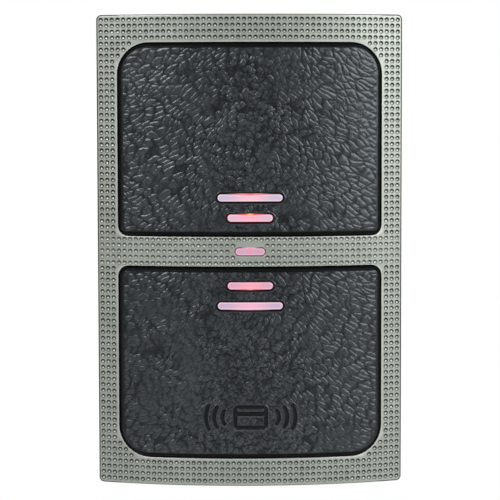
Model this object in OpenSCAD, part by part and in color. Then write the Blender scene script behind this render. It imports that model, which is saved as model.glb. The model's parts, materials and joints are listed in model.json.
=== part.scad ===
// Wall-mounted proximity card reader: a curved bezel with two leather-grained panels and five light
// bars, over a potted electronics tub that hangs on a steel wall plate and is held by one bottom screw.
//
// Frame: X to the right, Z up, the front faces -Y. The origin is on the wall, behind the reader's middle.

/* [Body] */
// Width of the reader
body_w = 78; // [78:0.5:82]
// Height of the reader
body_h = 120; // [120:0.5:124]
// Depth from the wall to the middle of the bezel's front
body_d = 22; // [22:0.5:25]
// How far the middle of the front bulges past its side edges
crown = 7.4; // [6.8:0.1:7.4]
// Radius of the bezel's outer corners
corner_r = 1.2; // [0.8:0.1:2]
// Thickness of the bezel's front
bezel_t = 2; // [1.8:0.1:2]
// Thickness of the bezel's side walls
skirt_t = 1.8; // [1.6:0.1:1.8]
// Gap between the bezel's back edge and the wall
wall_gap = 1; // [1:0.1:1.4]

/* [Panels] */
// Width of the two windows in the bezel
window_w = 67.4; // [66:0.1:67.4]
// Height of the bezel's bar between the windows
bridge_h = 7.5; // [7.5:0.1:8.5]
// Height of each window
window_h = 49.2; // [48:0.1:49.2]
// Radius of the windows' corners at the reader's ends
window_big_r = 8.1; // [7:0.1:9]
// Radius of the windows' corners beside the bar
window_small_r = 2.7; // [2:0.1:4]
// How far the panels stand out of the bezel
panel_rise = 1; // [0.6:0.1:1.4]
// Thickness of the panels' fronts
panel_t = 2; // [1.8:0.1:2.2]
// Gap between a panel and its window
panel_gap = 0.25; // [0.15:0.05:0.4]

/* [Light bars] */
// Height of every light bar
bar_h = 2.05; // [1.8:0.05:2.4]
// Length of the two outer bars
long_bar_l = 16.7; // [14:0.1:18]
// Length of the two inner bars
short_bar_l = 11.7; // [9:0.1:13]
// Length of the bar in the middle of the bezel
centre_bar_l = 7.7; // [6:0.1:9]
// Height of the outer bars above and below the middle
long_bar_z = 13.7; // [13.2:0.1:14.2]
// Height of the inner bars above and below the middle
short_bar_z = 8.6; // [8.4:0.1:9]

/* [Wall plate] */
// Distance between the upright box slots, as a US single-gang box has
gang_pitch = 83.3; // [80:0.1:86]
// Distance between the level box holes, as a round European box has
euro_pitch = 60; // [56:0.5:60]
// Width of the slots and holes for the box screws
box_slot_w = 4.2; // [3.6:0.1:4.6]
// Length of the upright slots
box_slot_l = 7; // [6:0.5:8]

/* [Cable] */
// Diameter of the cable's jacket
cable_dia = 5.4; // [5.4:0.1:5.8]
// How far the jacket reaches behind the wall's face
jacket_tail = 30; // [20:1:60]

/* [Hidden] */
$fn = 64;

eps = 0.01;
// Depths ahead of and behind the whole reader, for cuts that go right through
ahead = -body_d - 5;
behind = 2;
// A depth inside the reader that is behind every part of the curved front
curve_back = -4;
face_r = (pow(body_w / 2, 2) + crown * crown) / (2 * crown);
window_z0 = bridge_h / 2;
flange_w = 1.2;
flange_t = 1.2;
behind_bezel = -bezel_t - 0.1;
behind_flange = behind_bezel - flange_t;
panel_inner = panel_rise - panel_t;
panel_wall = 1.5;
skirt_r = 1;

// Clearance round each lens, and how far its foot reaches past it
bar_gap = 0.12;
foot_w = 0.8;
foot_h = 0.7;
foot_t = 0.9;

// Tub
tub_gap = 0.5;
tub_w = body_w - 2 * skirt_t - 2 * tub_gap;
tub_h = body_h - 2 * skirt_t - 2 * tub_gap;
tub_wall = 1.6;
tub_back = -1.7;
tub_floor = -3.9;
tub_rim = -11;
tub_in_w = tub_w - 2 * tub_wall;
tub_in_h = tub_h - 2 * tub_wall;
tub_r = 1.4;
standoff_r = 2.6;
pilot_r = 1.03;
pilot_end = -5.6;
cable_hole_r = 4;

// Circuit board
pcb_back = -9.2;
pcb_t = 1.6;
pcb_front = pcb_back - pcb_t;
pcb_w = tub_in_w - 1.2;
pcb_h = tub_in_h - 1.2;
pcb_hole = [25, 44];
pcb_hole_r = 1.3;

// Pegs that place the light baffle on the board
baffle_back = pcb_front - 0.1;
peg_x = 9;
peg_r = 0.7;

// Antenna winding
coil_w = 66;
coil_h = 104;
coil_band = 3.6;
coil_t = 2.1;

// Screws that hold the bezel to the tub, and the posts that they run in
post = [tub_w / 2 - 3.4, tub_h / 2 - 3.1];
post_r = 2.5;
boss_r = 3;
case_screw_r = 1.25;
case_screw_l = 11.2;
case_head_r = 2.3;
case_head_seat = -2.9;

// Wall plate, its hooks and its bottom tab
plate_t = 1.5;
plate_w = 68;
plate_h = 100;
hook_x = 18;
hook_w = 9;
hook_t = 1.2;
hook_step_z = body_h / 2 - 8.4;
hinge_y = -3.2;
hinge_z = body_h / 2 - 4;
bead_r = 0.95;
tab_w = 14;
tab_end = -10;
tab_low = -body_h / 2 + 2.4;
tab_top = tab_low + plate_t;
cable_opening = [28, 40];
cable_opening_z = -12;

// Security screw, on an upright axis through the bottom tab
lock_y = -6.2;
lock_r = 1.5;
lock_head_r = 2.75;
lock_head_h = 1.6;
lock_boss_w = 17.6;
washer_t = 0.4;
washer_top = tab_low - 0.35;
insert_r = 2.1;
insert_l = 6;
insert_low = tab_top + 0.2;

// Tamper switch, its plunger and its spring
tamper = [20, 24];
plunger_r = 1.5;
plunger_flange = [-5.95, -5.45];
plunger_flange_r = 2.7;
tamper_boss_r = 4.6;
tamper_boss_front = -6.2;
switch_top = -7.4;
spring_turns = 2.5;
spring_r = 2.1;
spring_rod_r = 0.15;

// Cable and its wires
cable_z = -20;
jacket_r = cable_dia / 2;
jacket_in = -4.6;
wire_r = 0.5;
wire_ring = 1.5;
wire_tail = jacket_tail + 18;
pad_row = [6.6, 2.2, -2.2, -6.6, -6.6, -2.2, 2.2, 6.6];
pad_z = 2.2;
wire_pocket = [24, 12];
wire_colours = ["red", "black", "green", "white", "blue", "saddlebrown", "gold", "grey"];

// ---- Shared shapes ----

// An outline drawn in X and Z, made solid from y_front to y_back
module slab(y_front, y_back) {
    translate([0, y_back, 0]) rotate([90, 0, 0]) linear_extrude(y_back - y_front) children();
}

// An outline drawn in X and Z, cut right through the reader
module through() slab(ahead, behind) children();

// Everything behind the bezel's curved front, grown outwards by grow
module face(grow = 0) {
    translate([0, face_r - body_d, -body_h]) cylinder(r = face_r + grow, h = 2 * body_h, $fn = 200);
}

// What lies between two curved surfaces, under an outline
module curved(grow_out, grow_in) {
    difference() {
        intersection() {
            slab(ahead, curve_back) children();
            face(grow_out);
        }
        face(grow_in);
    }
}

module rounded(w, h, r) {
    square([w - 2 * r, h], center = true);
    square([w, h - 2 * r], center = true);
    for (x = [-1, 1], z = [-1, 1]) translate([x * (w / 2 - r), z * (h / 2 - r)]) circle(r);
}

module stadium(l, h) {
    square([l - h, h], center = true);
    for (x = [-1, 1]) translate([x * (l - h) / 2, 0]) circle(h / 2);
}

// The upper window: large corners at the top, small ones beside the bridge
module window(grow = 0) {
    w = window_w + 2 * grow;
    low = window_z0 - grow;
    high = window_z0 + window_h + grow;
    big = window_big_r + grow;
    small = window_small_r + grow;
    translate([-w / 2, low + small]) square([w, high - big - low - small]);
    translate([small - w / 2, low]) square([w - 2 * small, small + eps]);
    translate([big - w / 2, high - big - eps]) square([w - 2 * big, big + eps]);
    for (x = [-1, 1]) {
        translate([x * (w / 2 - small), low + small]) circle(small);
        translate([x * (w / 2 - big), high - big]) circle(big);
    }
}

module at_corners(at) {
    for (x = [-1, 1], z = [-1, 1]) translate([x * at[0], 0, z * at[1]]) children();
}

module at_posts() at_corners(post) children();

module at_standoffs() at_corners(pcb_hole) children();

// A cylinder along Y between two depths
module rod_y(r, y_front, y_back) {
    translate([0, y_back, 0]) rotate([90, 0, 0]) cylinder(r = r, h = y_back - y_front);
}

// A round hole along Y, right through the reader
module hole_y(r) rod_y(r, ahead, behind);

module tube_y(r_out, r_in, y_front, y_back) {
    difference() {
        rod_y(r_out, y_front, y_back);
        rod_y(r_in, y_front - 1, y_back + 1);
    }
}

// A box given by its middle in X and Z, its size and the depths of its two faces
module block(x, z, w, h, y_front, y_back) {
    translate([x - w / 2, y_front, z - h / 2]) cube([w, y_back - y_front, h]);
}

// A box given by its middle in X, its width, its two heights and the depths of its two faces
module column(x, w, z_low, z_high, y_front, y_back) {
    translate([x - w / 2, y_front, z_low]) cube([w, y_back - y_front, z_high - z_low]);
}

// A straight rod from a to b
module link(a, b, r) {
    d = b - a;
    len = norm(d);
    translate(a) rotate([0, acos(d[2] / len), atan2(d[1], d[0])]) cylinder(r = r, h = len, $fn = 24);
}

// A round rod of radius r along a list of points, where no stretch runs along the vector side
module sweep(path, r, side, n = 10) {
    last = len(path) - 1;
    points = [for (k = [0 : last])
        each ring_about(path[k], path[min(k + 1, last)] - path[max(k - 1, 0)], r, side, n)];
    sides = [for (k = [0 : last - 1], j = [0 : n - 1])
        [k * n + j, (k + 1) * n + j, (k + 1) * n + (j + 1) % n, k * n + (j + 1) % n]];
    polyhedron(points, concat(sides, [[for (j = [0 : n - 1]) j], [for (j = [n - 1 : -1 : 0]) last * n + j]]));
}

function unit(v) = v / norm(v);

function ring_about(centre, way, r, side, n) = let (
    u = unit(cross(way, side)),
    v = unit(cross(way, u))
) [for (j = [0 : n - 1]) centre + r * (cos(360 * j / n) * u + sin(360 * j / n) * v)];

// The points of a cubic curve that leaves a for b and reaches d from c
function curve(a, b, c, d, steps) = [for (k = [0 : steps]) let (t = k / steps, s = 1 - t)
    s * s * s * a + 3 * s * s * t * b + 3 * s * t * t * c + t * t * t * d];

// ---- Front ----

module front_bezel() color([0.62, 0.65, 0.61]) {
    difference() {
        intersection() {
            slab(ahead, -wall_gap) rounded(body_w, body_h, corner_r);
            face();
        }
        intersection() {
            through() rounded(body_w - 2 * skirt_t, body_h - 2 * skirt_t, skirt_r);
            face(-bezel_t);
        }
        through() window();
        through() mirror([0, 1]) window();
        bar_slot(centre_bar_l, 0);
        translate([0, lock_y, -body_h / 2 - 1]) cylinder(r = lock_head_r + 0.35, h = skirt_t + 2);
    }
    intersection() {
        at_posts() tube_y(post_r, case_screw_r + 0.03, -body_d, tub_rim - 0.05);
        face(0.4 - bezel_t);
    }
}

module panel() {
    difference() {
        union() {
            curved(panel_rise, behind_flange) window(-panel_gap);
            curved(behind_bezel, behind_flange) window(flange_w);
        }
        intersection() {
            through() window(-panel_gap - panel_wall);
            face(panel_inner);
        }
        bar_slot(long_bar_l, long_bar_z);
        bar_slot(short_bar_l, short_bar_z);
    }
}

module bar_slot(l, z) {
    through() translate([0, z]) stadium(l + 2 * bar_gap, bar_h + 2 * bar_gap);
}

module upper_panel() color([0.12, 0.13, 0.14]) panel();

module lower_panel() color([0.12, 0.13, 0.14]) mirror([0, 0, 1]) panel();

// A lens in its slot, with a wider foot against the back of the wall it passes through
module light_bar(l, z, lens_top, foot_top) {
    color([0.93, 0.78, 0.85]) {
        curved(lens_top, foot_top - 0.1 - eps) translate([0, z]) stadium(l, bar_h);
        curved(foot_top - 0.1, foot_top - foot_t)
            translate([0, z]) stadium(l + 2 * foot_w, bar_h + 2 * foot_h);
    }
}

module panel_light_bar(l, z) {
    light_bar(l, z, panel_rise - 0.12, panel_inner);
}

module upper_long_light_bar() panel_light_bar(long_bar_l, long_bar_z);

module upper_short_light_bar() panel_light_bar(short_bar_l, short_bar_z);

module centre_light_bar() light_bar(centre_bar_l, 0, 0, -bezel_t);

module lower_short_light_bar() panel_light_bar(short_bar_l, -short_bar_z);

module lower_long_light_bar() panel_light_bar(long_bar_l, -long_bar_z);

// The black block of chimneys that keeps each lamp's light in its own bar
module light_baffle() {
    half_w = long_bar_l / 2 + 2;
    half_h = long_bar_z + bar_h / 2 + 1.5;
    step_z = window_z0 + panel_gap + 1.9;
    well_h = bar_h + 1.4;
    color([0.08, 0.08, 0.08]) difference() {
        union() {
            intersection() {
                for (s = [-1, 1])
                    block(0, s * (step_z + half_h) / 2, 2 * half_w, half_h - step_z, -body_d, baffle_back);
                face(panel_inner - 1.05);
            }
            intersection() {
                block(0, 0, 2 * half_w, 2 * step_z + 2 * eps, -body_d, baffle_back);
                face(behind_flange - 0.1);
            }
            for (x = [-peg_x, peg_x]) translate([x, 0, 0]) rod_y(peg_r, baffle_back - eps, pcb_back + 0.2);
        }
        for (z = [-long_bar_z, long_bar_z]) block(0, z, long_bar_l - 1, well_h, ahead, behind);
        for (z = [-short_bar_z, short_bar_z]) block(0, z, short_bar_l - 1, well_h, ahead, behind);
        block(0, 0, centre_bar_l - 1, well_h, ahead, behind);
    }
}

// ---- Tub ----

module base_housing() color([0.1, 0.1, 0.11]) {
    difference() {
        union() {
            difference() {
                slab(tub_rim, -wall_gap) rounded(tub_w, tub_h, tub_r);
                slab(ahead, tub_floor) rounded(tub_in_w, tub_in_h, skirt_r);
            }
            at_posts() rod_y(boss_r, tub_rim, tub_floor + eps);
            at_standoffs() rod_y(standoff_r, pcb_back, tub_floor + eps);
            for (x = [-hook_x, hook_x])
                column(x, hook_w + 4.2, hinge_z - 7, tub_in_h / 2 + 1, -6.4, tub_floor + eps);
            column(0, lock_boss_w, insert_low, insert_low + insert_l + 0.4, lock_y - 3, tub_floor + eps);
            translate([tamper[0], 0, tamper[1]]) rod_y(tamper_boss_r, tamper_boss_front, tub_floor + eps);
        }
        // The recess that takes in the wall plate
        slab(tub_back, behind) rounded(plate_w + 1.2, plate_h + 1.2, 4);
        // Sockets for the plate's hooks: an open slot, and the round groove that turns on each bead
        for (x = [-hook_x, hook_x]) {
            column(x, hook_w + 1.4, plate_h / 2, hinge_z - 0.4, -4.2, behind);
            translate([x, hinge_y, hinge_z]) rotate([0, 90, 0])
                cylinder(r = bead_r + 0.05, h = hook_w + 1.4, center = true);
        }
        // The way in for the plate's bottom tab
        column(0, tab_w + 2, -body_h / 2, insert_low, tub_rim - 1, behind);
        column(0, tab_w + 2, -body_h / 2, -plate_h / 2, tub_back, behind);
        translate([0, lock_y, insert_low - 1]) cylinder(r = insert_r, h = insert_l + 1);
        at_posts() {
            hole_y(case_screw_r + 0.1);
            rod_y(case_head_r + 0.25, case_head_seat, behind);
        }
        at_standoffs() rod_y(pilot_r, ahead, pilot_end);
        translate([0, 0, cable_z]) hole_y(cable_hole_r);
        translate([tamper[0], 0, tamper[1]]) {
            hole_y(plunger_r + 0.05);
            rod_y(plunger_flange_r + 0.5, ahead, tub_floor);
        }
    }
}

// Black resin cast in the tub behind the board, with a pocket where the wires fan out
module potting_block() color([0.05, 0.05, 0.05]) {
    gap = 0.05;
    difference() {
        slab(pcb_back + 0.6, tub_floor - gap) rounded(tub_in_w - 2 * gap, tub_in_h - 2 * gap, skirt_r);
        at_posts() hole_y(boss_r + gap);
        at_standoffs() hole_y(standoff_r + gap);
        for (x = [-hook_x, hook_x]) column(x, hook_w + 4.4, hinge_z - 12, body_h / 2, ahead, behind);
        column(0, lock_boss_w + 0.2, -body_h / 2, insert_low + insert_l + 5, ahead, behind);
        block(0, cable_z, wire_pocket[0], wire_pocket[1], ahead, behind);
        translate([tamper[0], 0, tamper[1]]) hole_y(tamper_boss_r + 0.2);
    }
}

module pan_screw(r, head_r, head_h, l) {
    // The head's flat underside is at y = 0 and the shank runs towards -Y
    difference() {
        union() {
            rod_y(head_r, 0, head_h);
            rod_y(r, -l, eps);
        }
        for (a = [0, 90]) rotate([0, a, 0]) translate([-head_r * 0.6, head_h * 0.4, -head_r * 0.13])
            cube([head_r * 1.2, head_h, head_r * 0.26]);
    }
}

module case_screws() color([0.7, 0.7, 0.7]) {
    at_posts() translate([0, case_head_seat + 0.02, 0])
        pan_screw(case_screw_r, case_head_r, 1.5, case_screw_l);
}

module threaded_insert() color([0.78, 0.62, 0.3]) {
    translate([0, lock_y, insert_low]) difference() {
        cylinder(r = insert_r - 0.02, h = insert_l);
        translate([0, 0, -1]) cylinder(r = lock_r + 0.05, h = insert_l + 2);
    }
}

// ---- Electronics ----

module main_pcb() color([0.05, 0.3, 0.15]) {
    difference() {
        slab(pcb_front, pcb_back) rounded(pcb_w, pcb_h, 1);
        at_posts() hole_y(boss_r + 0.4);
        at_standoffs() hole_y(pcb_hole_r);
        for (x = [-peg_x, peg_x]) translate([x, 0, 0]) hole_y(peg_r + 0.05);
        column(0, lock_boss_w + 1.2, -body_h / 2, insert_low + insert_l + 0.6, ahead, behind);
    }
}

module pcb_screws() color([0.72, 0.72, 0.7]) {
    at_standoffs() translate([0, pcb_front - 0.02, 0]) rotate([180, 0, 0]) pan_screw(1, 2, 1.3, 4.8);
}

module antenna_coil() color([0.72, 0.38, 0.2]) {
    slab(pcb_front - coil_t, pcb_front - 0.05) difference() {
        rounded(coil_w, coil_h, 6);
        rounded(coil_w - 2 * coil_band, coil_h - 2 * coil_band, 6 - coil_band);
    }
}

// Thin tape wrapped over the winding in two places on each side
module coil_tapes() color([0.85, 0.6, 0.15]) {
    tape_t = 0.06;
    tape_w = coil_band + 0.3;
    tape_front = pcb_front - coil_t - 0.1;
    for (z = [-30, 30], s = [-1, 1]) translate([s * (coil_w - coil_band) / 2, 0, 0]) difference() {
        block(0, z, tape_w, 8, tape_front, pcb_front - 0.01);
        block(0, z, tape_w - 2 * tape_t, 9, tape_front + tape_t, pcb_front + 1);
    }
}

module status_leds() color([0.95, 0.93, 0.85]) {
    for (z = [-long_bar_z, -short_bar_z, 0, short_bar_z, long_bar_z]) difference() {
        block(0, z, 3.5, 2.8, pcb_front - 1.9, pcb_front - 0.01);
        translate([0, 0, z]) rod_y(1.1, ahead, pcb_front - 1.4);
    }
}

// A chip with legs on two sides (sides = 2) or four (sides = 4), lying on the board's front
module chip(x, z, w, h, t, legs, pitch, sides) {
    translate([x, pcb_front - 0.02, z]) {
        color([0.1, 0.1, 0.1]) difference() {
            block(0, 0, w, h, -t - 0.1, -0.1);
            translate([-w / 2 + 0.9, 0, h / 2 - 0.9]) rod_y(0.35, -t - 1, -t);
        }
        for (turn = sides == 4 ? [0, 90, 180, 270] : [0, 180]) rotate([0, turn, 0])
            for (i = [0 : legs - 1]) translate([0, 0, (i - (legs - 1) / 2) * pitch])
                color([0.8, 0.8, 0.8]) leg((turn % 180 == 0 ? w : h) / 2, t, pitch);
    }
}

module leg(from_x, t, pitch) {
    block(from_x + 0.25, 0, 0.5 + 2 * eps, pitch * 0.42, -t * 0.6, -t * 0.45);
    block(from_x + 0.5, 0, 0.18, pitch * 0.42, -t * 0.6, 0);
    block(from_x + 0.75, 0, 0.5, pitch * 0.42, -0.16, 0);
}

module controller_chip() chip(-16, -27, 7, 7, 1.4, 8, 0.8, 4);

module rf_front_end_chip() chip(14, -26, 3.9, 8.7, 1.5, 7, 1.27, 2);

module crystal() color([0.78, 0.78, 0.76]) {
    translate([-22, 0, -20]) union() {
        slab(pcb_front - 3.4, pcb_front - 0.5) stadium(10, 3.8);
        slab(pcb_front - 0.6, pcb_front - 0.02) stadium(11, 4.6);
    }
}

module electrolytic_capacitors() {
    for (x = [11.5, 19.5]) translate([x, pcb_front - 0.02, -39]) {
        color([0.8, 0.8, 0.82]) rod_y(3.1, -5.6, -1);
        color([0.1, 0.1, 0.1]) block(0, 0, 6.6, 6.6, -1.01, 0);
    }
}

module tuning_capacitors() color([0.75, 0.2, 0.15]) {
    for (z = [24, 29.5]) block(-17, z, 7.2, 3.5, pcb_front - 5.5, pcb_front - 0.02);
}

module voltage_regulator() translate([0, pcb_front - 0.02, -39]) {
    color([0.1, 0.1, 0.1]) block(0, 0, 6.5, 3.5, -1.7, -0.1);
    color([0.8, 0.8, 0.8]) {
        block(0, 2.4, 3, 1.4, -0.3, 0);
        for (x = [-2.3, 0, 2.3]) block(x, -2.4, 0.7, 1.4, -0.3, 0);
    }
}

module choke_inductor() color([0.2, 0.2, 0.22]) {
    translate([-21, pcb_front - 0.02, -39]) {
        rod_y(3.2, -0.8, 0);
        rod_y(2.2, -3, -0.5);
        rod_y(3.2, -3.6, -2.8);
    }
}

module surge_diodes() color([0.12, 0.12, 0.12]) {
    for (i = [0 : 2]) block(24, -16 - 4.6 * i, 4.3, 2.6, pcb_front - 2.2, pcb_front - 0.02);
}

module chip_resistors() color([0.15, 0.15, 0.17]) {
    for (i = [0 : 6], s = [0, 1])
        block(-24 + 3.6 * i, 38 + 3 * s, 2, 1.25, pcb_front - 0.55, pcb_front - 0.02);
}

module buzzer() color([0.07, 0.07, 0.07]) {
    translate([14, 0, 31]) difference() {
        rod_y(6, pcb_front - 7, pcb_front - 0.02);
        rod_y(1, pcb_front - 8, pcb_front - 5);
    }
}

// ---- Cable ----

function wire_angle(i) = 360 * (i + 0.5) / 8;
function around(i, r, y) = [r * cos(wire_angle(i)), y, cable_z + r * sin(wire_angle(i))];
function pad(i, y) = [pad_row[i], y, cable_z + (i < 4 ? pad_z : -pad_z)];
// From the wire's pad on the board, through the jacket, to its loose end
function wire_path(i) = let (
    fan = 4.2 + 0.8 * (i % 3),
    in = jacket_in - 0.6,
    out = jacket_tail + 3
) concat(
    [pad(i, pcb_back + 0.05)],
    curve(pad(i, -8.5), pad(i, -6.8), around(i, wire_ring, in - 1.7), around(i, wire_ring, in), 8),
    curve(
        around(i, wire_ring, out),
        around(i, wire_ring, out + 5),
        around(i, wire_ring + 0.6 * fan, wire_tail - 6),
        around(i, wire_ring + fan, wire_tail),
        8
    )
);

module wire(i) color(wire_colours[i])
    sweep(wire_path(i), wire_r, [-sin(wire_angle(i)), 0, cos(wire_angle(i))]);

module tinned_wire_ends() color([0.8, 0.8, 0.8]) {
    for (i = [0 : 7]) {
        path = wire_path(i);
        end = path[len(path) - 1];
        way = unit(end - path[len(path) - 2]);
        link(end + way * 0.02, end + way * 5, 0.28);
    }
}

module solder_joints() color([0.75, 0.75, 0.75]) {
    for (i = [0 : 7]) translate(pad(i, 0)) tube_y(0.9, wire_r + 0.03, pcb_back + 0.02, pcb_back + 0.6);
}

module cable_grommet() color([0.06, 0.06, 0.06]) {
    lip_r = cable_hole_r + 1.2;
    translate([0, 0, cable_z]) difference() {
        union() {
            rod_y(cable_hole_r - 0.05, tub_floor - 0.5, -0.6);
            rod_y(lip_r, tub_back + 0.05, -0.6);
            rod_y(lip_r, tub_floor - 0.9, tub_floor - 0.05);
        }
        hole_y(jacket_r + 0.03);
    }
}

module cable_jacket() color([0.13, 0.13, 0.14]) {
    translate([0, 0, cable_z]) tube_y(jacket_r, wire_ring + wire_r + 0.1, jacket_in, jacket_tail);
}

module jacket_end_sleeve() color([0.03, 0.03, 0.03]) {
    translate([0, 0, cable_z]) tube_y(jacket_r + 0.35, jacket_r + 0.02, jacket_tail - 7, jacket_tail + 2);
}

module rating_label() color([0.85, 0.86, 0.87]) {
    slab(tub_back, tub_back + 0.1) translate([0, -33]) rounded(30, 15, 1.5);
}

// ---- Tamper switch ----

module tamper_switch() color([0.12, 0.12, 0.13]) {
    translate([tamper[0], 0, tamper[1]]) {
        block(0, 0, 6.2, 6.2, pcb_back + 0.02, switch_top);
        rod_y(1, switch_top - eps, -7);
    }
}

// Round wire on a helix between the switch and the plunger's flange
module tamper_spring() {
    steps = spring_turns * 24;
    low = switch_top + spring_rod_r + 0.02;
    high = plunger_flange[0] - spring_rod_r - 0.02;
    color([0.8, 0.8, 0.82]) sweep([for (k = [0 : steps]) [
        tamper[0] + spring_r * cos(15 * k),
        low + (high - low) * k / steps,
        tamper[1] + spring_r * sin(15 * k)
    ]], spring_rod_r, [0, 1, 0]);
}

module tamper_plunger() color([0.9, 0.9, 0.88]) {
    translate([tamper[0], 0, tamper[1]]) {
        rod_y(plunger_r, plunger_flange[0], -0.1);
        rod_y(plunger_flange_r, plunger_flange[0], plunger_flange[1]);
        rod_y(1, -6.97, plunger_flange[0] + eps);
    }
}

// ---- Wall plate and its lock ----

module captive_washer() color([0.92, 0.92, 0.9]) {
    translate([0, lock_y, washer_top - washer_t]) difference() {
        cylinder(r = lock_head_r - 0.05, h = washer_t);
        translate([0, 0, -1]) cylinder(r = lock_r + 0.05, h = washer_t + 2);
    }
}

// Button head with a six-lobed socket and the pin that keeps ordinary keys out
module security_screw() color([0.75, 0.75, 0.75]) {
    head_top = washer_top - washer_t - eps;
    shank_top = insert_low + insert_l - 0.4;
    translate([0, lock_y, 0]) {
        difference() {
            translate([0, 0, head_top - lock_head_h]) cylinder(r = lock_head_r, h = lock_head_h);
            translate([0, 0, head_top - lock_head_h - 1]) lobed_socket(2);
        }
        translate([0, 0, head_top - eps]) cylinder(r = lock_r, h = shank_top - head_top);
    }
}

module lobed_socket(h) {
    socket_r = 1.05;
    difference() {
        union() {
            cylinder(r = socket_r, h = h);
            for (a = [0 : 60 : 300]) rotate([0, 0, a]) translate([socket_r, 0, 0])
                cylinder(r = 0.32, h = h, $fn = 24);
        }
        cylinder(r = 0.4, h = h, $fn = 24);
    }
}

module wall_plate() color([0.74, 0.75, 0.76]) {
    slot_r = lock_r + 0.25;
    difference() {
        union() {
            slab(-plate_t, 0) rounded(plate_w, plate_h, 4);
            for (x = [-hook_x, hook_x]) translate([x, 0, 0]) hook();
            column(0, tab_w, tab_low, 2 - plate_h / 2, -plate_t, 0);
            column(0, tab_w, tab_low, tab_top, tab_end, 0);
        }
        through() translate([0, cable_opening_z]) rounded(cable_opening[0], cable_opening[1], 5);
        for (z = [-1, 1]) through()
            translate([0, z * gang_pitch / 2]) rotate(90) stadium(box_slot_l, box_slot_w);
        for (x = [-1, 1]) translate([x * euro_pitch / 2, 0, 0]) hole_y(box_slot_w / 2);
        translate([tamper[0], 0, tamper[1]]) hole_y(plunger_r + 0.8);
        // The open slot that lets the loosened screw swing out with the reader
        translate([0, lock_y, tab_low - 1]) cylinder(r = slot_r, h = plate_t + 2);
        column(0, 2 * slot_r, tab_low - 1, tab_top + 1, tab_end - 1, lock_y);
    }
}

// A strip cranked forwards from the plate's top edge, with a round bead at its end
module hook() {
    column(0, hook_w, plate_h / 2 - 1, hook_step_z + hook_t, -plate_t, 0);
    column(0, hook_w, hook_step_z, hook_step_z + hook_t, hinge_y - hook_t / 2, 0);
    column(0, hook_w, hook_step_z, hinge_z, hinge_y - hook_t / 2, hinge_y + hook_t / 2);
    translate([0, hinge_y, hinge_z]) rotate([0, 90, 0]) cylinder(r = bead_r, h = hook_w, center = true);
}

front_bezel();
upper_panel();
lower_panel();
upper_long_light_bar();
upper_short_light_bar();
centre_light_bar();
lower_short_light_bar();
lower_long_light_bar();
light_baffle();
base_housing();
potting_block();
case_screws();
threaded_insert();
main_pcb();
pcb_screws();
antenna_coil();
coil_tapes();
status_leds();
controller_chip();
rf_front_end_chip();
crystal();
electrolytic_capacitors();
tuning_capacitors();
voltage_regulator();
choke_inductor();
surge_diodes();
chip_resistors();
buzzer();
solder_joints();
cable_grommet();
cable_jacket();
jacket_end_sleeve();
wire(0);  // wire_red
wire(1);  // wire_black
wire(2);  // wire_green
wire(3);  // wire_white
wire(4);  // wire_blue
wire(5);  // wire_brown
wire(6);  // wire_yellow
wire(7);  // wire_grey
tinned_wire_ends();
rating_label();
tamper_switch();
tamper_spring();
tamper_plunger();
captive_washer();
security_screw();
wall_plate();
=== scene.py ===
"""Looks for the wall-mounted card reader: a dimpled silver bezel, two leather-grained panels, five lit bars,
and the hardware behind them. Sizes are in millimetres until a mesh is made; the scene is in metres."""

import json
import math

import bpy
import numpy as np
from mathutils import Matrix, Vector
from mathutils.geometry import delaunay_2d_cdt


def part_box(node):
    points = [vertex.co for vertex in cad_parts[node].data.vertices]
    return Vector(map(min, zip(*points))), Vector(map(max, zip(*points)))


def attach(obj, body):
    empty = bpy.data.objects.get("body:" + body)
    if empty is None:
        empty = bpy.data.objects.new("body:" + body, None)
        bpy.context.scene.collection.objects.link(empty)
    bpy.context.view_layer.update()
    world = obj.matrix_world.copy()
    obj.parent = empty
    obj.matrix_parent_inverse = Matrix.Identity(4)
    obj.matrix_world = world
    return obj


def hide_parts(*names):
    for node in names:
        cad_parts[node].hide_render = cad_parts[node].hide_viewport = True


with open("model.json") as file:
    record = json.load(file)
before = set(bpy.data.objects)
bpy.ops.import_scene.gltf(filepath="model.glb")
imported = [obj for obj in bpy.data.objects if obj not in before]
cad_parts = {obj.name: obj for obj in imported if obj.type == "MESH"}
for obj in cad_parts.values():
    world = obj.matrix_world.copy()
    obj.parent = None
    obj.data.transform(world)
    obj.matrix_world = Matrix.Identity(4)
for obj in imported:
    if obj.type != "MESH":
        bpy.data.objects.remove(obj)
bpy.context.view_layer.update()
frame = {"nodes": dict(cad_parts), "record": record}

MM = 0.001
# How near counts as on an edge, in millimetres
SLACK = 0.005
NEAR = 0.01
# Shares of a radius that the straight chords of a rounded loop stay outside of
EDGE_CHORD = 0.98
DIMPLE_CHORD = 0.97
POST_CHORD = 0.99
HOLE_CHORD = 0.995


# ---- Sizes taken from the frame ----

def box_mm(node):
    low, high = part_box(node)
    return np.array(low) / MM, np.array(high) / MM


bezel_low, bezel_high = box_mm("front_bezel")
panel_low, panel_high = box_mm("upper_panel")
BODY_W = bezel_high[0] - bezel_low[0]
BODY_H = bezel_high[2] - bezel_low[2]
CROWN_Y = bezel_low[1]
BACK_Y = bezel_high[1]

bezel_points = np.array([v.co for v in frame["nodes"]["front_bezel"].data.vertices]) / MM
side_edge_y = bezel_points[np.abs(bezel_points[:, 0]) > BODY_W / 2 - NEAR, 1].min()
SAG = side_edge_y - CROWN_Y
FACE_R = ((BODY_W / 2) ** 2 + SAG ** 2) / (2 * SAG)
PANEL_RISE = CROWN_Y - panel_low[1]

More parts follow.
